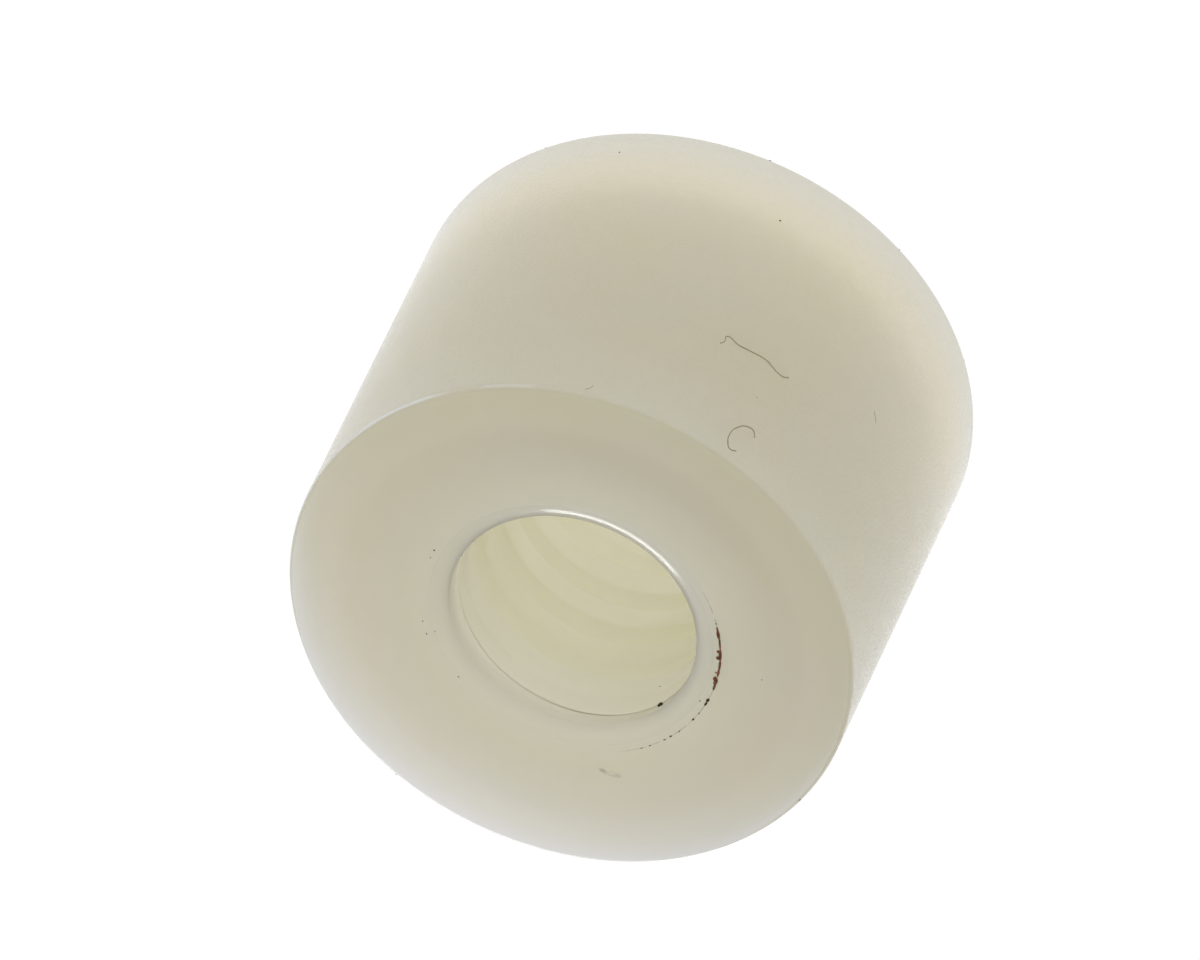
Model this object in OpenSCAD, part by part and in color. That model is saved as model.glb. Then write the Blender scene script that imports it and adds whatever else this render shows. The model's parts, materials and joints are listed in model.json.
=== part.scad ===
// Round threaded bushing, turned from natural nylon rod and tapped right through.
// It stands on one end: Z runs along the bore and Z = 0 is the lower end face.
// All sizes are in millimetres.

/* [Body] */
// Outside diameter of the rod
outer_d = 12.7; // [11:0.05:25]
// Length from end face to end face
body_l = 9.525; // [5:0.025:40]
// Radius of the broken outer edge at each end
rim_r = 0.1; // [0.05:0.05:0.5]

/* [Threaded bore] */
// Major diameter of the thread, which is the diameter of the screw
thread_d = 6.35; // [3:0.05:8]
// Height of the thread from its root to its crest, measured along the radius
thread_h = 0.397; // [0.1:0.001:0.8]
// How far the countersunk mouth reaches past the thread, measured along the radius
mouth_margin = 0.2; // [0.05:0.05:0.5]
// Included angle of the countersink at each mouth
mouth_angle = 140; // [90:1:150]

/* [Hidden] */
$fn = 96;
nylon = [0.74, 0.71, 0.64];

outer_r = outer_d / 2;
crest_r = thread_d / 2 - thread_h;
mouth_r = thread_d / 2 + mouth_margin;
mouth_depth = (mouth_r - crest_r) / tan(mouth_angle / 2);

// Half section of the turned blank: a straight wall between two flat ends, with rounded outer corners
module blank_section() {
    square([outer_r - rim_r, body_l]);
    translate([0, rim_r])
        square([outer_r, body_l - 2 * rim_r]);
    for (corner_z = [rim_r, body_l - rim_r])
        translate([outer_r - rim_r, corner_z])
            circle(r = rim_r);
}

// Half section of the hole: the drilling at the thread's crests, opened out by a cone at each mouth
module hole_section() {
    polygon([
        [0, 0],
        [mouth_r, 0],
        [crest_r, mouth_depth],
        [crest_r, body_l - mouth_depth],
        [mouth_r, body_l],
        [0, body_l]
    ]);
}

module bushing() {
    color(nylon)
        rotate_extrude()
            difference() {
                blank_section();
                hole_section();
            }
}

bushing();
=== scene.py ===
"""Threaded bushing: a spacer turned from natural nylon rod, with rounded mouths and tapped right through.

The file is laid out as an add-on and run as a script. Lengths are in metres, in the part's own frame:
Z runs up the bore and the lower end face stands at Z = 0.
"""

import json
import math

import bmesh
import bpy
from bpy.props import FloatProperty, FloatVectorProperty, PointerProperty
from mathutils import Matrix, Vector


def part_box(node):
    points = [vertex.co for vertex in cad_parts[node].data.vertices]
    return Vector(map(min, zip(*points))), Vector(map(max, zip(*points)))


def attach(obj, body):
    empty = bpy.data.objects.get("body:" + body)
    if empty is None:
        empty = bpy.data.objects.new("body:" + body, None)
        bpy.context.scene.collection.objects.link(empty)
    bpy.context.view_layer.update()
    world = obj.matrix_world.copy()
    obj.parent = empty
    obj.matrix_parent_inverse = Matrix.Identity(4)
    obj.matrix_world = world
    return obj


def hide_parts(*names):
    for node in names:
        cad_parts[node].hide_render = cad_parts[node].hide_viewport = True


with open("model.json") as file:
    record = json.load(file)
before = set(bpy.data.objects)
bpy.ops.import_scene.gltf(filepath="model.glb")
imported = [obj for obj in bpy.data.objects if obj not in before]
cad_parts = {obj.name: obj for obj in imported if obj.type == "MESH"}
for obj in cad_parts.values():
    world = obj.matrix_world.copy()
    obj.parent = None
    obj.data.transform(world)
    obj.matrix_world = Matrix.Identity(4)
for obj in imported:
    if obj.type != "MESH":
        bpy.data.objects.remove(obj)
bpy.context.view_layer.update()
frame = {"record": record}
CAD_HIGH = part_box("bushing")[1]
MOUNTS = {mount["name"]: mount for mount in frame["record"]["mounts"]}

bl_info = {
    "name": "Threaded Bushing",
    "version": (1, 0, 0),
    "blender": (4, 5, 0),
    "location": "3D View > Sidebar > Bushing",
    "description": "Builds a tapped nylon bushing, the dirt and lint on it, and a small white studio",
    "category": "Object",
}

MM = 0.001
BODY = "root"
SIDES = 192
THREAD_STEPS = 128
WELD = 1e-7
TABLE_GAP = 0.01 * MM

# Rust on the mouth's edge: turn in degrees, then radius, length and width in millimetres
RUST_FLAKES = (
    (-148.6, 3.370, 0.12, 0.050),
    (-151.2, 3.368, 0.28, 0.075),
    (-155.4, 3.374, 0.38, 0.050),
    (-159.1, 3.345, 0.09, 0.110),
    (-160.6, 3.374, 0.36, 0.075),
    (-162.0, 3.340, 0.10, 0.120),
    (-165.2, 3.380, 0.34, 0.060),
    (-168.8, 3.376, 0.26, 0.060),
    (-169.1, 3.335, 0.04, 0.090),
    (-172.0, 3.340, 0.13, 0.100),
    (-173.3, 3.366, 0.22, 0.095),
    (-176.0, 3.378, 0.22, 0.055),
)

# Dark specks on the upper end: turn in degrees, then radius, length and width in millimetres
END_SPECKS = (
    (-146.2, 3.375, 0.035, 0.035),
    (176.9, 3.375, 0.120, 0.070),
    (174.9, 3.378, 0.130, 0.050),
    (174.6, 3.235, 0.035, 0.030),
    (169.4, 3.382, 0.045, 0.030),
    (165.4, 3.378, 0.060, 0.050),
    (156.8, 3.386, 0.055, 0.028),
    (152.4, 3.378, 0.065, 0.040),
    (149.2, 3.384, 0.070, 0.028),
    (142.4, 3.382, 0.065, 0.028),
    (138.6, 3.382, 0.070, 0.020),
    (-4.4, 3.366, 0.035, 0.045),
    (-0.4, 3.360, 0.030, 0.025),
    (30.3, 3.375, 0.035, 0.025),
    (36.0, 3.362, 0.050, 0.025),
    (35.5, 3.165, 0.030, 0.022),
    (57.9, 3.190, 0.040, 0.022),
    (-166.5, 4.340, 0.030, 0.022),
)

# Dark specks on the thread's first turns: turn in degrees, then height, length and width in millimetres
BORE_SPECKS = (
    (153.9, 9.145, 0.150, 0.140),
    (155.6, 9.190, 0.080, 0.070),
    (146.6, 8.240, 0.035, 0.035),
)

# Dark specks on the wall: turn in degrees, then height, length and width in millimetres
WALL_SPECKS = (
    (-56.3, 0.78, 0.030, 0.050),
    (-92.3, 1.75, 0.055, 0.040),
    (-103.3, 7.23, 0.022, 0.022),
)

# Lint on the wall: routes of turn in degrees and height in millimetres
WALL_LINT = (
    ((-92.2, 6.33), (-92.8, 6.20), (-92.8, 6.02), (-95.6, 6.09), (-98.1, 6.06), (-102.0, 6.02),
     (-105.0, 6.14), (-106.4, 6.12), (-107.3, 6.03)),
    ((-104.2, 9.11), (-102.8, 9.17), (-102.1, 9.07), (-101.6, 8.75), (-102.5, 8.41), (-104.0, 8.22),
     (-105.5, 8.20), (-106.4, 8.36)),
)

# Finer fibres on the wall, near the right-hand side and just below the upper rim
FINE_LINT = (
    ((-127.6, 4.57), (-128.5, 4.65), (-129.3, 4.76)),
    ((-73.4, 9.12), (-73.0, 9.24), (-72.2, 9.32)),
)

# Burrs left on the rims by the parting tool: turn in degrees, then whether it is on the upper end
BURRS = (
    (-37.6, False),
    (-85.4, False),
    (-116.9, False),
    (-144.9, False),
    (71.7, True),
    (165.2, True),
)
BURR_SIZE = 0.08 * MM

# Thickness of a flake of rust and of a speck, as a share of its smaller side
RUST_FLATNESS = 0.4
SPECK_FLATNESS = 0.6

# Painted highlights along parts of the upper rim, where a thin burr of nylon catches the light: turn of the
# middle, half the length at the ends and where it is at its strongest, all in degrees, then strength
RIM_HIGHLIGHTS = (
    (-8.0, 39.0, 26.0, 1.0),
    (-57.0, 6.5, 4.0, 0.22),
)

# Grey smears on the upper face: middle in millimetres, turn in degrees, then length and width in millimetres
SMEARS = (
    ((-2.01, 3.30), 165.0, (0.30, 0.18)),
    ((-2.25, 3.27), 200.0, (0.52, 0.24)),
)


def length(name, description, default):
    """A length of the part, shown in Blender's own units."""
    return FloatProperty(name=name, description=description, default=default, precision=6, unit="LENGTH")


def angle(name, description, degrees):
    """An angle, written here in degrees."""
    return FloatProperty(
        name=name, description=description, default=math.radians(degrees), subtype="ANGLE", unit="ROTATION"
    )


def share(name, description, default, most=1.0):
    """A plain number from 0 to most."""
    return FloatProperty(name=name, description=description, default=default, min=0.0, max=most)


def colour(name, description, default):
    """A linear colour."""
    return FloatVectorProperty(
        name=name, description=description, default=default, subtype="COLOR", size=3, min=0.0, max=1.0
    )


class BushingSizes(bpy.types.PropertyGroup):
    """Sizes of the turned and tapped part."""

    outer_radius: length("Outer radius", "Radius of the turned wall", CAD_HIGH.x)
    height: length("Height", "Distance between the end faces", CAD_HIGH.z)
    rim_radius: length("Rim radius", "Round on each outer edge", 0.1 * MM)
    crest_radius: length(
        "Crest radius", "Bore radius at the thread's crests", MOUNTS["thread_bore"]["dims"]["r_mm"] * MM
    )
    thread_radius: length("Thread radius", "Radius at the thread's roots", 3.175 * MM)
    pitch: length("Pitch", "Rise of the thread in one turn", 1.27 * MM)
    thread_start: length(
        "Thread start", "Height of a groove's middle on the X axis, from the upper face", -0.0625 * MM
    )
    thread_lead: length("Thread lead", "Length over which the thread fades in to its full depth", 0.6 * MM)
    flank_angle: angle("Flank angle", "Slope of a thread flank from square to the bore", 30.0)
    root_flat: length("Root flat", "Width of the flat at the bottom of a groove", 0.159 * MM)
    crest_round: length("Crest round", "Round on the thread's edges", 0.04 * MM)
    mouth_radius: length("Mouth radius", "Radius at which the rounded mouth leaves the face", 3.375 * MM)
    mouth_slope: angle("Mouth slope", "How steep the rounded mouth is where it ends", 42.0)
    mouth_overrun: length("Mouth overrun", "How far the rounded mouth runs in past the crests", 0.03 * MM)


class NylonFinish(bpy.types.PropertyGroup):
    """Colours and surface of the nylon and of the dirt on it, and the colours that paint light and shade on
    the nylon.
    """

    body_colour: colour("Body", "Colour of the nylon", (0.585, 0.53, 0.38))
    # Painted light: the end faces are made paler towards the mouth, where shade falls on them
    mouth_light_colour: colour("Mouth", "Colour of the end faces at the mouth", (0.90, 0.84, 0.64))
    # Painted shade: the end faces are made darker towards the outer rim
    rim_shade_colour: colour("Rim", "Colour of the end faces at the rim", (0.48, 0.44, 0.295))
    # Painted highlight: a pale line along parts of the upper rim, where a thin burr catches the light
    rim_highlight_colour: colour("Feather", "Colour of the thin burr on the upper rim", (0.97, 0.95, 0.86))
    # Painted light: the wall is paler and less yellow towards its lower edge, where light shines through the
    # nylon
    lower_glow_colour: colour("Edge", "Colour of the wall at its lower edge", (0.56, 0.545, 0.42))
    # Painted light: the bore's first turns are paler and yellower, for light that shines through the nylon
    # into the bore
    thread_glow_colour: colour("Thread", "Colour of the bore's first turns below a mouth", (0.76, 0.675, 0.37))
    # Painted light: deeper in the bore it is yellower still, for light that comes through the wall
    bore_glow_colour: colour("Bore", "Colour deep inside the bore", (0.76, 0.67, 0.30))
    body_scatter: length("Body scatter", "How far light travels inside the body", 24.0 * MM)
    mouth_scatter: length("Mouth scatter", "How far light travels near the mouth", 3.5 * MM)
    lip_scatter: length("Lip scatter", "How far light travels at the mouth's lip", 1.0 * MM)
    bore_scatter: length("Bore scatter", "How far light travels behind the bore's wall", 40.0 * MM)
    wall_roughness: share("Wall roughness", "Roughness of the outer wall", 0.12)
    face_roughness: share("Face roughness", "Roughness of the faced ends", 0.38)
    mouth_roughness: share("Mouth roughness", "Roughness of the mouth and the thread", 0.12)
    thread_softness: share("Thread softness", "How far the light from behind evens out the thread", 0.9)
    right_softness: share("Right softness", "The same on the picture's right-hand side", 0.5)
    rust_colour: colour("Rust", "Colour of the rust on the mouth", (0.095, 0.045, 0.019))
    pale_rust_colour: colour("Pale rust", "Colour of the rust where it is thin", (0.300, 0.120, 0.064))
    speck_colour: colour("Specks", "Colour of the dark specks", (0.030, 0.024, 0.013))
    lint_colour: colour("Lint", "Colour of the lint", (0.34, 0.315, 0.215))
    stain_colour: colour("Stain", "Colour of the grey stains", (0.300, 0.275, 0.195))
    stain_strength: share("Stain strength", "How far a stain hides the nylon", 0.6)
    fibre_thickness: length("Fibre thickness", "Thickness of a fibre of lint", 0.026 * MM)


class StudioSettings(bpy.types.PropertyGroup):
    """Camera, lamps and floor."""

    view_tilt: angle("View tilt", "Angle between the bore and the line of sight", 40.47)
    view_roll: angle("View roll", "Turn of the picture about the line of sight", -154.10)
    view_distance: length("View distance", "From the camera to the middle of the part", 696.8 * MM)
    lens: FloatProperty(name="Lens", description="Focal length in millimetres", default=963.7)
    aim_right: length("Aim right", "How far the part sits to the right of the picture's middle", 0.705 * MM)
    aim_down: length("Aim down", "How far the part sits below the picture's middle", 0.378 * MM)
    back_light: share("Back light", "Brightness of the tent behind the part, to +Y", 0.974, 3.0)
    front_light: share("Front light", "Brightness of the tent on the camera's side, to -Y", 1.131, 3.0)
    left_light: share("Left light", "Brightness of the tent on the picture's left, to +X", 0.471, 3.0)
    right_light: share("Right light", "Brightness of the tent on the picture's right, to -X", 0.273, 3.0)
    strip_light: share("Strip light", "Brightness of the lamp that glints in the mouth", 4.2, 10.0)
    strip_width: length("Strip width", "Width of that lamp, along X", 11.8 * MM)
    strip_height: length("Strip height", "Height of that lamp, along Z", 20.4 * MM)
    strip_distance: length("Strip distance", "How far behind the bore that lamp stands", 35.0 * MM)
    strip_level: length("Strip level", "How high the middle of that lamp is above the floor", 10.2 * MM)
    table_light: share("Table light", "Brightness of the light table under the part", 0.373, 3.0)
    table_radius: length("Table radius", "Radius of the light table", 20.0 * MM)
    floor_size: length("Floor size", "Length of each side of the floor", 4.0)
    floor_glow: share("Floor glow", "How white the floor looks by itself", 0.94)


def deselect_objects():
    """Leave edit mode with nothing selected, so that an operator finds only what it is given."""
    if bpy.context.object and bpy.context.object.mode != "OBJECT":
        bpy.ops.object.mode_set(mode="OBJECT")
    bpy.ops.object.select_all(action="DESELECT")


def make_active(piece):
    """Select one piece alone and make it the active one."""
    deselect_objects()
    piece.select_set(True)
    bpy.context.view_layer.objects.active = piece


def pick(piece, kind, wanted):
    """In edit mode, select only the wanted vertices, faces (by middle) or edges (by middle and ends)."""
    bpy.ops.mesh.select_mode(type=kind)
    bpy.ops.mesh.select_all(action="DESELECT")
    mesh = bmesh.from_edit_mesh(piece.data)
    if kind == "VERT":
        chosen = [v for v in mesh.verts if wanted(v.co)]
    elif kind == "EDGE":
        ends = ((edge, edge.verts[0].co, edge.verts[1].co) for edge in mesh.edges)
        chosen = [edge for edge, a, b in ends if wanted(a) and wanted(b) and wanted((a + b) / 2)]
    else:
        chosen = [f for f in mesh.faces if wanted(f.calc_center_median())]
    for element in chosen:
        element.select_set(True)
    mesh.select_flush_mode()
    bmesh.update_edit_mesh(piece.data)
    if not chosen:
        raise RuntimeError(f"{piece.name}: nothing to select")


def apply_modifier(piece, kind, **settings):
    """Add a modifier, set it and apply it."""
    make_active(piece)
    bpy.ops.object.modifier_add(type=kind)
    modifier = piece.modifiers[-1]
    for name, value in settings.items():
        setattr(modifier, name, value)
    bpy.ops.object.modifier_apply(modifier=modifier.name)


def mouth_round(sizes):
    """Radius of the round that leads from an end face into the bore."""
    width = sizes.mouth_radius - sizes.crest_radius + sizes.mouth_overrun
    return width / math.sin(sizes.mouth_slope)


def mouth_drop(sizes, radius):
    """How deep the rounded mouth lies at a radius."""
    inward = max(0.0, sizes.mouth_radius - radius)
    return mouth_round(sizes) - math.sqrt(mouth_round(sizes) ** 2 - inward**2)


def turned_blank(sizes):
    """A rod cut to length, with its outer edges rounded and a round-edged hollow in both ends."""
    deselect_objects()
    bpy.ops.mesh.primitive_cylinder_add(
        vertices=SIDES,
        radius=sizes.outer_radius,
        depth=sizes.height,
        location=(0.0, 0.0, sizes.height / 2),
    )
    blank = bpy.context.object
    blank.name = "bushing_body"
    bpy.ops.object.transform_apply(location=True)
    bpy.ops.object.mode_set(mode="EDIT")
    ends = (0.0, sizes.height)

    def on_rim(point, radius):
        at_end = min(abs(point.z - end) for end in ends) < WELD
        return at_end and abs(point.xy.length - radius) < 0.005 * MM

    pick(blank, "EDGE", lambda point: on_rim(point, sizes.outer_radius))
    bpy.ops.mesh.bevel(offset=sizes.rim_radius, segments=5, profile=0.5, affect="EDGES")

    def is_end_face(middle):
        return middle.xy.length < WELD and min(abs(middle.z - end) for end in ends) < WELD

    tangent = mouth_round(sizes) * math.tan(sizes.mouth_slope / 2)
    cone_radius = sizes.mouth_radius - tangent
    pick(blank, "FACE", is_end_face)
    bpy.ops.mesh.inset(thickness=sizes.outer_radius - sizes.rim_radius - cone_radius)
    bpy.ops.mesh.poke(offset=-cone_radius * math.tan(sizes.mouth_slope))

    pick(blank, "EDGE", lambda point: on_rim(point, cone_radius))
    bpy.ops.mesh.bevel(offset=tangent, segments=10, profile=0.5, affect="EDGES")
    bpy.ops.object.mode_set(mode="OBJECT")
    return blank


def tap(sizes):
    """The tap that cuts the thread: its outline screwed up past both ends, then given a tapered lead."""
    depth = sizes.thread_radius - sizes.crest_radius
    rise = depth * math.tan(sizes.flank_angle)
    crest_flat = sizes.pitch - sizes.root_flat - 2 * rise
    over = sizes.pitch
    turns = math.ceil((sizes.height + 2 * over) / sizes.pitch) + 2
    groove = sizes.height + sizes.thread_start - sizes.pitch * (turns - 2)

    deselect_objects()
    bpy.ops.mesh.primitive_plane_add(size=sizes.pitch)
    cutter = bpy.context.object
    cutter.name = "tap"
    bpy.ops.object.mode_set(mode="EDIT")
    bpy.ops.mesh.select_mode(type="VERT")
    bpy.ops.mesh.select_all(action="SELECT")
    bpy.ops.mesh.merge(type="CENTER")
    bpy.ops.transform.translate(value=(sizes.crest_radius, 0.0, groove - sizes.pitch / 2))
    outline = (
        (0.0, crest_flat / 2),
        (depth, rise),
        (0.0, sizes.root_flat),
        (-depth, rise),
        (0.0, crest_flat / 2),
    )
    for outward, upward in outline:
        bpy.ops.mesh.extrude_region_move(TRANSFORM_OT_translate={"value": (outward, 0.0, upward)})
    lowest = groove - sizes.pitch / 2
    highest = groove + sizes.pitch / 2
    pick(cutter, "VERT", lambda point: lowest + WELD < point.z < highest - WELD)
    bpy.ops.mesh.bevel(offset=sizes.crest_round, segments=3, affect="VERTICES")
    bpy.ops.object.mode_set(mode="OBJECT")

    apply_modifier(
        cutter,
        "SCREW",
        axis="Z",
        angle=math.tau,
        screw_offset=sizes.pitch,
        iterations=turns,
        steps=THREAD_STEPS,
        render_steps=THREAD_STEPS,
        use_merge_vertices=True,
        merge_threshold=WELD,
    )
    bpy.ops.object.mode_set(mode="EDIT")
    bpy.ops.mesh.select_all(action="SELECT")
    bpy.ops.mesh.remove_doubles(threshold=WELD)
    for height, upward in ((-over / 2, -1.0), (sizes.height + over / 2, 1.0)):
        bpy.ops.mesh.select_all(action="SELECT")
        bpy.ops.mesh.bisect(
            plane_co=(0.0, 0.0, height),
            plane_no=(0.0, 0.0, upward),
            use_fill=True,
            clear_outer=True,
            threshold=WELD,
        )
    bpy.ops.mesh.select_all(action="SELECT")
    bpy.ops.mesh.normals_make_consistent(inside=False)
    bpy.ops.object.mode_set(mode="OBJECT")
    rod = tapered_rod(sizes)
    apply_modifier(cutter, "BOOLEAN", operation="INTERSECT", solver="EXACT", object=rod)
    bpy.data.objects.remove(rod)
    return cutter


def tapered_rod(sizes):
    """A rod with a cone at each end, which gives the tap its lead, a little wide and early at the lip."""
    early = 0.06 * MM
    wide = 0.02 * MM
    lip = mouth_drop(sizes, sizes.crest_radius)
    ends = (lip - early, sizes.height - lip + early)
    deselect_objects()
    bpy.ops.mesh.primitive_cylinder_add(
        vertices=SIDES,
        radius=sizes.crest_radius + sizes.thread_lead + wide,
        depth=ends[1] - ends[0],
        location=(0.0, 0.0, sizes.height / 2),
    )
    rod = bpy.context.object
    bpy.ops.object.transform_apply(location=True)
    bpy.ops.object.mode_set(mode="EDIT")
    pick(rod, "EDGE", lambda point: min(abs(point.z - end) for end in ends) < WELD)
    bpy.ops.mesh.bevel(offset=sizes.thread_lead + early, segments=1, affect="EDGES")
    bpy.ops.object.mode_set(mode="OBJECT")
    return rod


class Graph:
    """A short way to add and link the nodes of one material or world."""

    def __init__(self, owner):
        owner.use_nodes = True
        self.tree = owner.node_tree
        self.tree.nodes.clear()

    def feed(self, socket, value):
        """Link a socket to another, or set its own value."""
        if isinstance(value, bpy.types.NodeSocket):
            self.tree.links.new(value, socket)
        else:
            socket.default_value = value

    def add(self, kind, inputs=None, **settings):
        """A node with its settings and inputs given."""
        node = self.tree.nodes.new(kind)
        for name, value in settings.items():
            setattr(node, name, value)
        for name, value in (inputs or {}).items():
            self.feed(node.inputs[name], value)
        return node

    def math(self, operation, *values):
        """A sum on numbers."""
        node = self.add("ShaderNodeMath", operation=operation)
        for socket, value in zip(node.inputs, values):
            self.feed(socket, value)
        return node.outputs[0]

    def ramp(self, value, low, high):
        """From 0 at low to 1 at high, eased at both ends."""
        node = self.add(
            "ShaderNodeMapRange",
            {"Value": value, "From Min": low, "From Max": high},
            interpolation_type="SMOOTHSTEP",
        )
        return node.outputs["Result"]

    def between(self, share_of_second, first, second):
        """A number between two others."""
        node = self.add("ShaderNodeMix", {0: share_of_second, 2: first, 3: second}, data_type="FLOAT")
        return node.outputs[0]

    def blend(self, share_of_second, first, second):
        """A mix of two colours."""
        node = self.add("ShaderNodeMix", {0: share_of_second}, data_type="RGBA")
        for socket, value in ((node.inputs[6], first), (node.inputs[7], second)):
            linked = isinstance(value, bpy.types.NodeSocket)
            self.feed(socket, value if linked else (*value, 1.0))
        return node.outputs[2]

    def mix_vectors(self, share_of_second, first, second):
        """A direction between two others."""
        node = self.add("ShaderNodeMix", {0: share_of_second, 4: first, 5: second}, data_type="VECTOR")
        return self.add("ShaderNodeVectorMath", {0: node.outputs[1]}, operation="NORMALIZE").outputs[0]

    def noise(self, place, scale, detail=2.0):
        """Soft noise from 0 to 1."""
        node = self.add("ShaderNodeTexNoise", {"Vector": place, "Scale": scale, "Detail": detail})
        return node.outputs[0]


def place_in_millimetres(graph):
    """Object coordinates in millimetres, with their distance from the bore's axis, turn and height."""
    coordinates = graph.add("ShaderNodeTexCoord").outputs["Object"]
    scaled = graph.add("ShaderNodeMapping", {"Vector": coordinates, "Scale": (1 / MM,) * 3}).outputs[0]
    parts = graph.add("ShaderNodeSeparateXYZ", {0: scaled}).outputs
    x_squared = graph.math("MULTIPLY", parts[0], parts[0])
    y_squared = graph.math("MULTIPLY", parts[1], parts[1])
    radius = graph.math("SQRT", graph.math("ADD", x_squared, y_squared))
    turn = graph.math("ARCTAN2", parts[1], parts[0])
    return scaled, radius, turn, parts[2]


def spot(graph, place, middle, turn, length_and_width):
    """1 in the middle of a long spot on the upper face, falling to 0 at its outline."""
    size = Vector((*length_and_width, 1.0)) / 2
    centred = graph.add(
        "ShaderNodeMapping",
        {"Vector": place, "Location": middle, "Rotation": (0.0, 0.0, turn), "Scale": size},
        vector_type="TEXTURE",
    )
    distance = graph.add("ShaderNodeVectorMath", {0: centred.outputs[0]}, operation="LENGTH")
    return graph.ramp(distance.outputs["Value"], 1.0, 0.2)


class NylonZones:
    """Where a point lies on the part, in millimetres, and how far it is inside each zone, from 0 to 1."""

    def __init__(self, graph, sizes):
        self.place, self.radius, self.turn, self.height = place_in_millimetres(graph)
        self.outer = sizes.outer_radius / MM
        self.mouth = sizes.mouth_radius / MM
        self.rim = sizes.rim_radius / MM
        self.top = sizes.height / MM
        self.depth = graph.math("MINIMUM", self.height, graph.math("SUBTRACT", self.top, self.height))
        self.on_wall = graph.ramp(self.radius, self.outer - 0.06, self.outer - 0.01)
        self.round_mouth = graph.ramp(self.radius, self.mouth + 1.9, self.mouth - 0.1)
        self.inside = graph.ramp(self.radius, self.mouth - 0.05, self.mouth - 0.3)
        self.at_lip = graph.ramp(self.radius, self.mouth - 0.15, self.mouth - 0.4)
        self.in_bore = graph.math("MULTIPLY", self.inside, graph.ramp(self.depth, 0.0, 0.9))
        self.below_lip = graph.math("MULTIPLY", self.inside, graph.ramp(self.depth, 0.0, 1.0))
        self.deep = graph.math("MULTIPLY", self.inside, graph.ramp(self.depth, 1.2, 3.2))


def painted_rim_highlight(graph, zones):
    """Where a painted highlight runs along parts of the upper rim, at a thin burr of nylon that catches the
    light.
    """
    off_rim = graph.math("ABSOLUTE", graph.math("SUBTRACT", zones.height, zones.top - 0.7 * zones.rim))
    upper_edge = graph.math("MULTIPLY", zones.on_wall, graph.ramp(off_rim, 0.06, 0.02))
    along = 0.0
    for middle, ends, full, strength in RIM_HIGHLIGHTS:
        off_middle = graph.math("ABSOLUTE", graph.math("SUBTRACT", zones.turn, math.radians(middle)))
        highlight = graph.ramp(off_middle, math.radians(ends), math.radians(full))
        along = graph.math("MULTIPLY_ADD", highlight, strength, along)
    return graph.math("MULTIPLY", upper_edge, along)


def stains(graph, zones):
    """Where the upper end is dirty: a broken line along part of the mouth's edge, and a streaky smear."""
    on_top = graph.ramp(zones.height, zones.top - 0.12, zones.top - 0.04)
    off_edge = graph.math("ABSOLUTE", graph.math("SUBTRACT", zones.radius, zones.mouth + 0.005))
    edge_line = graph.math("MULTIPLY", graph.ramp(off_edge, 0.018, 0.004), on_top)
    on_right = graph.ramp(graph.math("ABSOLUTE", zones.turn), math.radians(122), math.radians(142))
    broken = graph.ramp(graph.noise(zones.place, 4.0, 3.0), 0.35, 0.6)
    dirty_edge = graph.math("MULTIPLY", graph.math("MULTIPLY", edge_line, on_right), broken)
    smear = 0.0
    for middle, degrees, length_and_width in SMEARS:
        place = (*middle, zones.top)
        here = spot(graph, zones.place, place, math.radians(degrees), length_and_width)
        smear = graph.math("MAXIMUM", here, smear)
    streaks = graph.ramp(graph.noise(zones.place, 7.0, 3.0), 0.3, 0.6)
    return graph.math("MAXIMUM", dirty_edge, graph.math("MULTIPLY", smear, streaks))


def nylon_colour(graph, zones, finish):
    """A faintly clouded off-white, with painted light that makes it paler at the mouth and yellower in the
    bore, and painted shade that makes it darker at the rim.
    """
    cloud = graph.noise(zones.place, 0.35, 2.0)
    warm = tuple(part * tint for part, tint in zip(finish.body_colour, (1.01, 0.995, 0.975)))
    cool = tuple(part * tint for part, tint in zip(finish.body_colour, (0.99, 1.0, 1.02)))
    base = graph.blend(graph.ramp(cloud, 0.3, 0.7), warm, cool)
    # Painted light: paler towards the mouth
    base = graph.blend(zones.round_mouth, base, finish.mouth_light_colour)
    # Painted shade: darker on the end faces towards the outer rim
    near_rim = graph.ramp(zones.radius, zones.outer - 1.1, zones.outer)
    shaded_rim = graph.math("MAXIMUM", graph.math("SUBTRACT", near_rim, zones.on_wall), 0.0)
    base = graph.blend(shaded_rim, base, finish.rim_shade_colour)
    # Painted light: paler and yellower in the bore, the more so deeper in
    base = graph.blend(zones.below_lip, base, finish.thread_glow_colour)
    base = graph.blend(zones.deep, base, finish.bore_glow_colour)
    # Painted highlight along parts of the upper rim
    base = graph.blend(painted_rim_highlight(graph, zones), base, finish.rim_highlight_colour)
    # Painted light: paler towards the wall's lower edge
    painted_lower_glow = graph.math("MULTIPLY", zones.on_wall, graph.ramp(zones.height, 1.5, 0.0))
    base = graph.blend(painted_lower_glow, base, finish.lower_glow_colour)
    stained = graph.math("MULTIPLY", stains(graph, zones), finish.stain_strength)
    return graph.blend(stained, base, finish.stain_colour)


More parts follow.
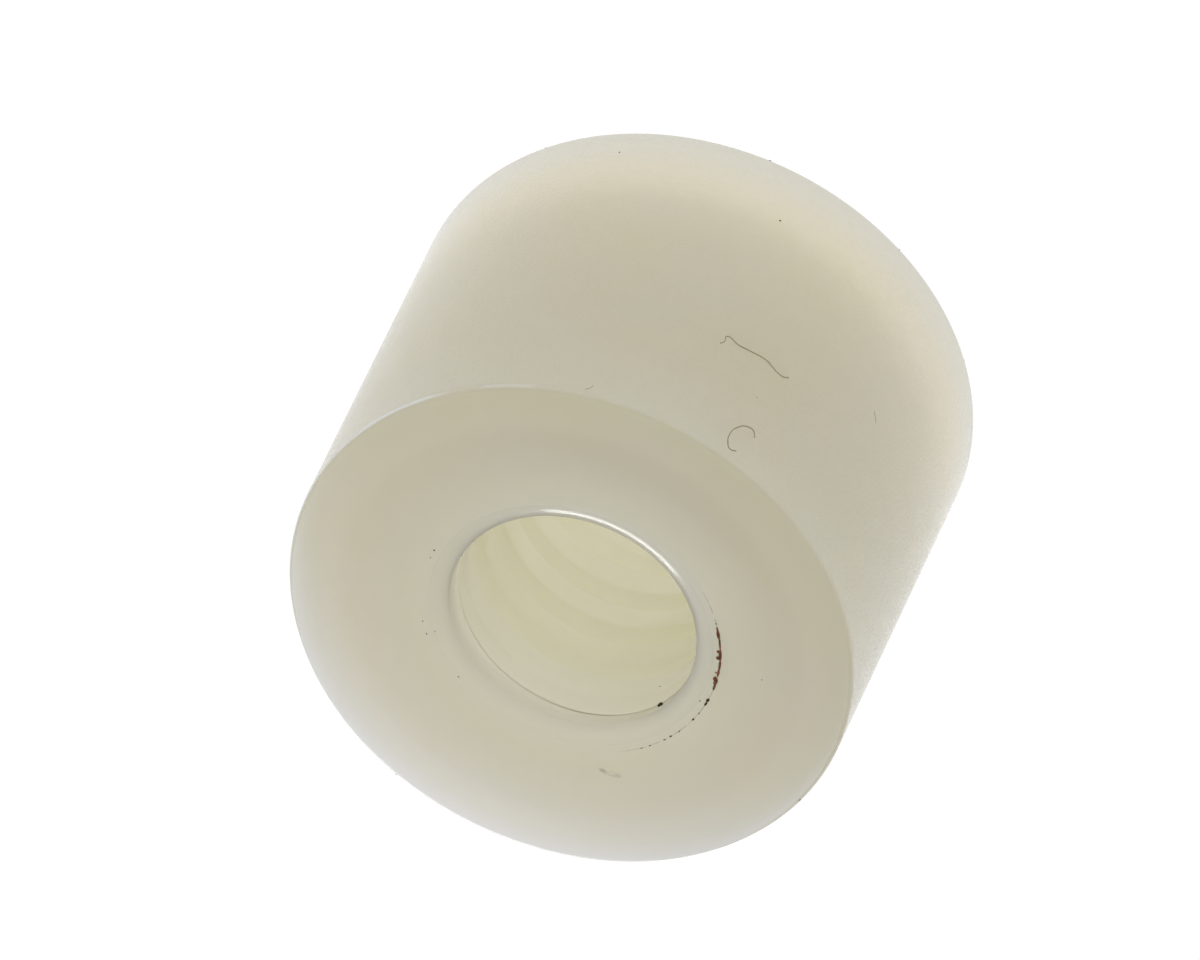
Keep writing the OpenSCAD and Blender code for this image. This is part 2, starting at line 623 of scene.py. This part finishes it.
def nylon_facing(graph, zones, finish):
    """The way the surface faces: grained on the wall, and with the thread evened out in the bore."""
    stretched = graph.add("ShaderNodeMapping", {"Vector": zones.place, "Scale": (1.0, 1.0, 2.0)}).outputs[0]
    grainy = graph.math("MULTIPLY", zones.on_wall, graph.ramp(zones.depth, zones.rim, zones.rim + 0.1))
    grain = graph.math("MULTIPLY", graph.noise(stretched, 11.0, 3.0), grainy)
    bump = graph.add("ShaderNodeBump", {"Strength": 0.4, "Distance": 0.04 * MM, "Height": grain})
    level = graph.add("ShaderNodeVectorMath", {0: zones.place, 1: (-1.0, -1.0, 0.0)}, operation="MULTIPLY")
    inward = graph.add("ShaderNodeVectorMath", {0: level.outputs[0]}, operation="NORMALIZE").outputs[0]
    which_end = graph.math("SIGN", graph.math("SUBTRACT", zones.height, zones.top / 2))
    endward = graph.add("ShaderNodeCombineXYZ", {2: which_end}).outputs[0]
    steepness = graph.math("MINIMUM", graph.math("SQRT", graph.math("MAXIMUM", zones.depth, 0.0)), 1.0)
    smooth = graph.mix_vectors(steepness, endward, inward)
    on_right = graph.ramp(graph.math("ABSOLUTE", zones.turn), math.radians(100), math.radians(150))
    softness = graph.between(on_right, finish.thread_softness, finish.right_softness)
    return graph.mix_vectors(graph.math("MULTIPLY", zones.inside, softness), bump.outputs[0], smooth)


def nylon_material(sizes, finish):
    """Translucent natural nylon: grained and glossy on the wall, matte on the ends, smooth in the bore."""
    material = bpy.data.materials.new("natural_nylon")
    graph = Graph(material)
    zones = NylonZones(graph, sizes)
    roughness = graph.between(zones.inside, finish.face_roughness, finish.mouth_roughness)
    roughness = graph.between(zones.on_wall, roughness, finish.wall_roughness)
    mouth_scatter = graph.between(zones.at_lip, finish.mouth_scatter, finish.lip_scatter)
    scatter = graph.between(zones.round_mouth, finish.body_scatter, mouth_scatter)
    scatter = graph.between(zones.in_bore, scatter, finish.bore_scatter)
    shader = graph.add(
        "ShaderNodeBsdfPrincipled",
        {
            "Base Color": nylon_colour(graph, zones, finish),
            "Roughness": roughness,
            "IOR": 1.53,
            "Subsurface Weight": 1.0,
            "Subsurface Radius": (1.0, 0.95, 0.9),
            "Subsurface Scale": scatter,
            "Normal": nylon_facing(graph, zones, finish),
        },
    )
    graph.add("ShaderNodeOutputMaterial", {"Surface": shader.outputs[0]})
    return material


def crumbly_material(name, first, second, roughness, scale):
    """A rough opaque dirt that wanders between two colours."""
    material = bpy.data.materials.new(name)
    graph = Graph(material)
    place = place_in_millimetres(graph)[0]
    grain = graph.noise(place, scale, 4.0)
    bump = graph.add("ShaderNodeBump", {"Strength": 0.5, "Distance": 0.01 * MM, "Height": grain})
    shader = graph.add(
        "ShaderNodeBsdfPrincipled",
        {
            "Base Color": graph.blend(graph.ramp(grain, 0.35, 0.65), first, second),
            "Roughness": roughness,
            "Specular IOR Level": 0.2,
            "Normal": bump.outputs[0],
        },
    )
    graph.add("ShaderNodeOutputMaterial", {"Surface": shader.outputs[0]})
    return material


def round_point(radius, turn, height):
    """A point at a radius, a turn and a height."""
    return Vector((radius * math.cos(turn), radius * math.sin(turn), height))


def end_point(sizes, turn, radius):
    """A point on the upper end: on its face, or on the round inside the mouth."""
    return round_point(radius, turn, sizes.height - mouth_drop(sizes, radius))


def crumb_size(crumb_length, crumb_width, flatness):
    """Length, width and thickness of a crumb in metres, from a length and width in millimetres."""
    return Vector((crumb_length, crumb_width, flatness * min(crumb_length, crumb_width))) * MM


def model_crumbs(name, crumbs, unevenness):
    """Small uneven lumps in one mesh, each from its place, tilt, turn, length, width and thickness."""
    deselect_objects()
    for number, (place, tilt, turn, size) in enumerate(crumbs):
        bpy.ops.mesh.primitive_ico_sphere_add(
            subdivisions=2,
            radius=0.5,
            location=place,
            rotation=(tilt, 0.0, turn + math.pi / 2),
            scale=size,
        )
        if number == 0:
            piece = bpy.context.object
            piece.name = name
            bpy.ops.object.transform_apply()
            bpy.ops.object.mode_set(mode="EDIT")
        bpy.ops.transform.vertex_random(offset=unevenness * min(size), seed=number)
    bpy.ops.mesh.select_all(action="SELECT")
    bpy.ops.mesh.normals_make_consistent(inside=False)
    bpy.ops.object.mode_set(mode="OBJECT")
    bpy.ops.object.shade_smooth()
    return piece


def model_fibres(name, routes, thickness):
    """Thin round threads through the given points, in one mesh."""
    deselect_objects()
    for number, route in enumerate(routes):
        bpy.ops.mesh.primitive_plane_add(size=thickness)
        if number == 0:
            piece = bpy.context.object
            piece.name = name
            bpy.ops.object.mode_set(mode="EDIT")
            bpy.ops.mesh.select_mode(type="VERT")
            bpy.ops.mesh.select_all(action="SELECT")
        bpy.ops.mesh.merge(type="CENTER")
        bpy.ops.transform.translate(value=route[0])
        for here, there in zip(route, route[1:]):
            bpy.ops.mesh.extrude_region_move(TRANSFORM_OT_translate={"value": there - here})
    bpy.ops.object.mode_set(mode="OBJECT")
    bpy.ops.object.convert(target="CURVE")
    thread = bpy.context.object
    bpy.ops.object.mode_set(mode="EDIT")
    bpy.ops.curve.select_all(action="SELECT")
    bpy.ops.curve.spline_type_set(type="BEZIER")
    bpy.ops.curve.handle_type_set(type="AUTOMATIC")
    bpy.ops.object.mode_set(mode="OBJECT")
    thread.data.bevel_depth = thickness / 2
    thread.data.bevel_resolution = 2
    thread.data.use_fill_caps = True
    bpy.ops.object.convert(target="MESH")
    bpy.ops.object.mode_set(mode="EDIT")
    bpy.ops.mesh.select_all(action="SELECT")
    bpy.ops.mesh.remove_doubles(threshold=WELD)
    bpy.ops.mesh.normals_make_consistent(inside=False)
    bpy.ops.object.mode_set(mode="OBJECT")
    bpy.ops.object.shade_smooth()
    return bpy.context.object


def finish_piece(piece, material):
    """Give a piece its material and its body."""
    piece.data.materials.clear()
    piece.data.materials.append(material)
    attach(piece, BODY)


class BUSHING_OT_turn_and_tap(bpy.types.Operator):
    """Turn the blank with a rounded mouth at both ends and cut the thread through it"""

    bl_idname = "bushing.turn_and_tap"
    bl_label = "Turn and Tap the Bushing"

    def execute(self, context):
        sizes = context.scene.bushing_sizes
        blank = turned_blank(sizes)
        cutter = tap(sizes)
        apply_modifier(blank, "BOOLEAN", operation="DIFFERENCE", solver="EXACT", object=cutter)
        bpy.data.objects.remove(cutter)
        make_active(blank)
        bpy.ops.object.shade_smooth_by_angle(angle=math.radians(35))
        apply_modifier(blank, "WEIGHTED_NORMAL", keep_sharp=True, weight=80)
        finish_piece(blank, nylon_material(sizes, context.scene.nylon_finish))
        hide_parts("bushing")
        return {"FINISHED"}


class BUSHING_OT_leave_burrs(bpy.types.Operator):
    """Leave small burrs of nylon on the outer rims"""

    bl_idname = "bushing.leave_burrs"
    bl_label = "Leave the Burrs"

    def execute(self, context):
        sizes = context.scene.bushing_sizes
        inset = sizes.rim_radius / 2
        crumbs = []
        for degrees, on_upper in BURRS:
            turn = math.radians(degrees)
            height = sizes.height - inset if on_upper else inset
            place = round_point(sizes.outer_radius - inset, turn, height)
            crumbs.append((place, math.pi / 4, turn, (BURR_SIZE, BURR_SIZE, BURR_SIZE)))
        burrs = model_crumbs("rim_burrs", crumbs, unevenness=0.15)
        finish_piece(burrs, bpy.data.materials["natural_nylon"])
        return {"FINISHED"}


class BUSHING_OT_spread_rust(bpy.types.Operator):
    """Spread a broken crust of rust along the mouth's edge"""

    bl_idname = "bushing.spread_rust"
    bl_label = "Spread the Rust"

    def execute(self, context):
        sizes = context.scene.bushing_sizes
        finish = context.scene.nylon_finish
        crumbs = []
        for degrees, radius, flake_length, flake_width in RUST_FLAKES:
            turn = math.radians(degrees)
            size = crumb_size(flake_length, flake_width, RUST_FLATNESS)
            crumbs.append((end_point(sizes, turn, radius * MM), 0.0, turn, size))
        rust = model_crumbs("rust", crumbs, unevenness=0.2)
        material = crumbly_material(
            "rust", finish.rust_colour, finish.pale_rust_colour, roughness=0.85, scale=14.0
        )
        finish_piece(rust, material)
        return {"FINISHED"}


class BUSHING_OT_sprinkle_specks(bpy.types.Operator):
    """Sprinkle dark specks on the upper end, the thread and the wall"""

    bl_idname = "bushing.sprinkle_specks"
    bl_label = "Sprinkle the Specks"

    def execute(self, context):
        sizes = context.scene.bushing_sizes
        finish = context.scene.nylon_finish
        crumbs = []
        for degrees, radius, speck_length, speck_width in END_SPECKS:
            turn = math.radians(degrees)
            size = crumb_size(speck_length, speck_width, SPECK_FLATNESS)
            crumbs.append((end_point(sizes, turn, radius * MM), 0.0, turn, size))
        on_sides = (
            (BORE_SPECKS, sizes.crest_radius, -math.pi / 2),
            (WALL_SPECKS, sizes.outer_radius, math.pi / 2),
        )
        for side_specks, radius, tilt in on_sides:
            for degrees, height, speck_length, speck_width in side_specks:
                turn = math.radians(degrees)
                size = crumb_size(speck_length, speck_width, SPECK_FLATNESS)
                crumbs.append((round_point(radius, turn, height * MM), tilt, turn, size))
        specks = model_crumbs("specks", crumbs, unevenness=0.2)
        lighter = tuple(2 * part for part in finish.speck_colour)
        material = crumbly_material("dark_dirt", finish.speck_colour, lighter, roughness=0.8, scale=20.0)
        finish_piece(specks, material)
        return {"FINISHED"}


class BUSHING_OT_lay_lint(bpy.types.Operator):
    """Lay a few fibres of lint on the wall"""

    bl_idname = "bushing.lay_lint"
    bl_label = "Lay the Lint"

    def execute(self, context):
        sizes = context.scene.bushing_sizes
        finish = context.scene.nylon_finish
        paler = tuple(1.25 * part for part in finish.lint_colour)
        material = crumbly_material("lint", finish.lint_colour, paler, roughness=0.9, scale=6.0)
        kinds = (
            ("lint", WALL_LINT, finish.fibre_thickness),
            ("fine_lint", FINE_LINT, finish.fibre_thickness / 2),
        )
        for name, turns_and_heights, thickness in kinds:
            on_wall = sizes.outer_radius + thickness / 4
            routes = [
                [round_point(on_wall, math.radians(degrees), height * MM) for degrees, height in route]
                for route in turns_and_heights
            ]
            finish_piece(model_fibres(name, routes, thickness), material)
        return {"FINISHED"}


class BUSHING_OT_set_studio(bpy.types.Operator):
    """Put up the camera, the lamps and a white floor"""

    bl_idname = "bushing.set_studio"
    bl_label = "Set the Studio"

    def execute(self, context):
        sizes = context.scene.bushing_sizes
        studio = context.scene.bushing_studio
        set_camera(sizes, studio)
        set_floor(studio)
        set_light_table(studio)
        set_strip_light(studio)
        set_world(studio)
        context.scene.view_settings.view_transform = "Standard"
        return {"FINISHED"}


def set_camera(sizes, studio):
    """A long lens, tilted and rolled as the picture was taken, with the part a little off the middle."""
    tilt = studio.view_tilt
    back = Vector((0.0, -math.sin(tilt), math.cos(tilt)))
    upright = Vector((0.0, math.cos(tilt), math.sin(tilt)))
    level = upright.cross(back)
    roll = Matrix.Rotation(studio.view_roll, 3, back)
    right = roll @ level
    up = roll @ upright
    middle = Vector((0.0, 0.0, sizes.height / 2))
    place = middle + back * studio.view_distance - right * studio.aim_right + up * studio.aim_down

    lens = bpy.data.cameras.new("camera")
    lens.lens = studio.lens
    lens.sensor_width = 36.0
    lens.clip_start = 0.1
    lens.clip_end = 10.0
    camera = bpy.data.objects.new("camera", lens)
    turn = Matrix((right, up, back)).transposed()
    camera.matrix_world = Matrix.Translation(place) @ turn.to_4x4()
    bpy.context.scene.collection.objects.link(camera)
    bpy.context.scene.camera = camera


def seen_directly(graph):
    """1 for a ray from the camera, a mirror or a lens, and 0 for one that only carries light."""
    path = graph.add("ShaderNodeLightPath").outputs
    mirror_or_lens = graph.math("MAXIMUM", path["Is Glossy Ray"], path["Is Transmission Ray"])
    return graph.math("MAXIMUM", path["Is Camera Ray"], mirror_or_lens)


def set_floor(studio):
    """A wide floor that looks white and keeps a faint shadow."""
    deselect_objects()
    bpy.ops.mesh.primitive_plane_add(size=studio.floor_size)
    floor = bpy.context.object
    floor.name = "floor"
    floor.location.z = -2 * TABLE_GAP
    material = bpy.data.materials.new("white_floor")
    graph = Graph(material)
    plain = graph.add("ShaderNodeBsdfDiffuse", {"Color": (0.8, 0.8, 0.8, 1.0)})
    glow = graph.add("ShaderNodeEmission", {"Color": (1.0, 1.0, 1.0, 1.0), "Strength": studio.floor_glow})
    dim = graph.add("ShaderNodeBsdfDiffuse", {"Color": (0.15, 0.15, 0.15, 1.0)})
    white = graph.add("ShaderNodeAddShader", {0: glow.outputs[0], 1: dim.outputs[0]})
    either = graph.add(
        "ShaderNodeMixShader", {0: seen_directly(graph), 1: plain.outputs[0], 2: white.outputs[0]}
    )
    graph.add("ShaderNodeOutputMaterial", {"Surface": either.outputs[0]})
    floor.data.materials.append(material)


def add_lamp(name, brightness, width, depth, shape):
    """A soft flat lamp of an even brightness, which the camera doesn't see."""
    lamp = bpy.data.lights.new(name, "AREA")
    lamp.shape = shape
    lamp.size = width
    lamp.size_y = depth
    area = width * depth * (math.pi / 4 if shape == "ELLIPSE" else 1.0)
    lamp.energy = brightness * math.pi * area
    holder = bpy.data.objects.new(name, lamp)
    holder.visible_camera = False
    bpy.context.scene.collection.objects.link(holder)
    return holder


def set_light_table(studio):
    """A round soft lamp let into the floor, which shines up into the part's lower end and its bore."""
    across = 2 * studio.table_radius
    table = add_lamp("light_table", studio.table_light, across, across, "ELLIPSE")
    table.location.z = -TABLE_GAP
    table.rotation_euler.x = math.pi
    table.visible_glossy = False


def set_strip_light(studio):
    """A low lamp behind the part, which only glints: in the near side of the mouth and on the wall."""
    strip = add_lamp("strip_light", studio.strip_light, studio.strip_width, studio.strip_height, "RECTANGLE")
    strip.location = (0.0, studio.strip_distance, studio.strip_level)
    strip.rotation_euler.x = math.radians(-90)
    strip.visible_diffuse = False


def set_world(studio):
    """A white tent that glows from its sides and is dark overhead, and looks plain white itself."""
    world = bpy.data.worlds.new("surround")
    bpy.context.scene.world = world
    graph = Graph(world)
    direction = graph.add("ShaderNodeTexCoord").outputs["Generated"]
    axes = graph.add("ShaderNodeSeparateXYZ", {0: direction}).outputs
    sides = (
        (axes[1], 1.0, studio.back_light),
        (axes[1], -1.0, studio.front_light),
        (axes[0], 1.0, studio.left_light),
        (axes[0], -1.0, studio.right_light),
    )
    strength = 0.0
    for axis, sense, brightness in sides:
        facing = graph.math("MAXIMUM", graph.math("MULTIPLY", axis, sense), 0.0)
        strength = graph.math("MULTIPLY_ADD", facing, brightness, strength)
    light = graph.add("ShaderNodeBackground", {"Color": (1.0, 1.0, 1.0, 1.0), "Strength": strength})
    plain = graph.add("ShaderNodeBackground", {"Color": (1.0, 1.0, 1.0, 1.0), "Strength": 1.0})
    either = graph.add(
        "ShaderNodeMixShader", {0: seen_directly(graph), 1: light.outputs[0], 2: plain.outputs[0]}
    )
    graph.add("ShaderNodeOutputWorld", {"Surface": either.outputs[0]})


class BUSHING_PT_panel(bpy.types.Panel):
    """The bushing's sizes, finish and build steps"""

    bl_label = "Threaded Bushing"
    bl_space_type = "VIEW_3D"
    bl_region_type = "UI"
    bl_category = "Bushing"

    def draw(self, context):
        for group_name in GROUPS:
            group = getattr(context.scene, group_name)
            box = self.layout.box()
            for name in group.__annotations__:
                box.prop(group, name)
        for operator in OPERATORS:
            self.layout.operator(operator.bl_idname)


OPERATORS = (
    BUSHING_OT_set_studio,
    BUSHING_OT_turn_and_tap,
    BUSHING_OT_leave_burrs,
    BUSHING_OT_spread_rust,
    BUSHING_OT_sprinkle_specks,
    BUSHING_OT_lay_lint,
)
GROUPS = {
    "bushing_sizes": BushingSizes,
    "nylon_finish": NylonFinish,
    "bushing_studio": StudioSettings,
}
CLASSES = (*GROUPS.values(), *OPERATORS, BUSHING_PT_panel)


def register():
    """Add the classes, and their settings to the scene."""
    for each in CLASSES:
        bpy.utils.register_class(each)
    for name, group in GROUPS.items():
        setattr(bpy.types.Scene, name, PointerProperty(type=group))


def unregister():
    """Take the settings and the classes away again."""
    for name in GROUPS:
        delattr(bpy.types.Scene, name)
    for each in reversed(CLASSES):
        bpy.utils.unregister_class(each)


def main():
    """Build the whole scene."""
    register()
    bpy.ops.bushing.set_studio()
    bpy.ops.bushing.turn_and_tap()
    bpy.ops.bushing.leave_burrs()
    bpy.ops.bushing.spread_rust()
    bpy.ops.bushing.sprinkle_specks()
    bpy.ops.bushing.lay_lint()


if __name__ == "__main__":
    main()
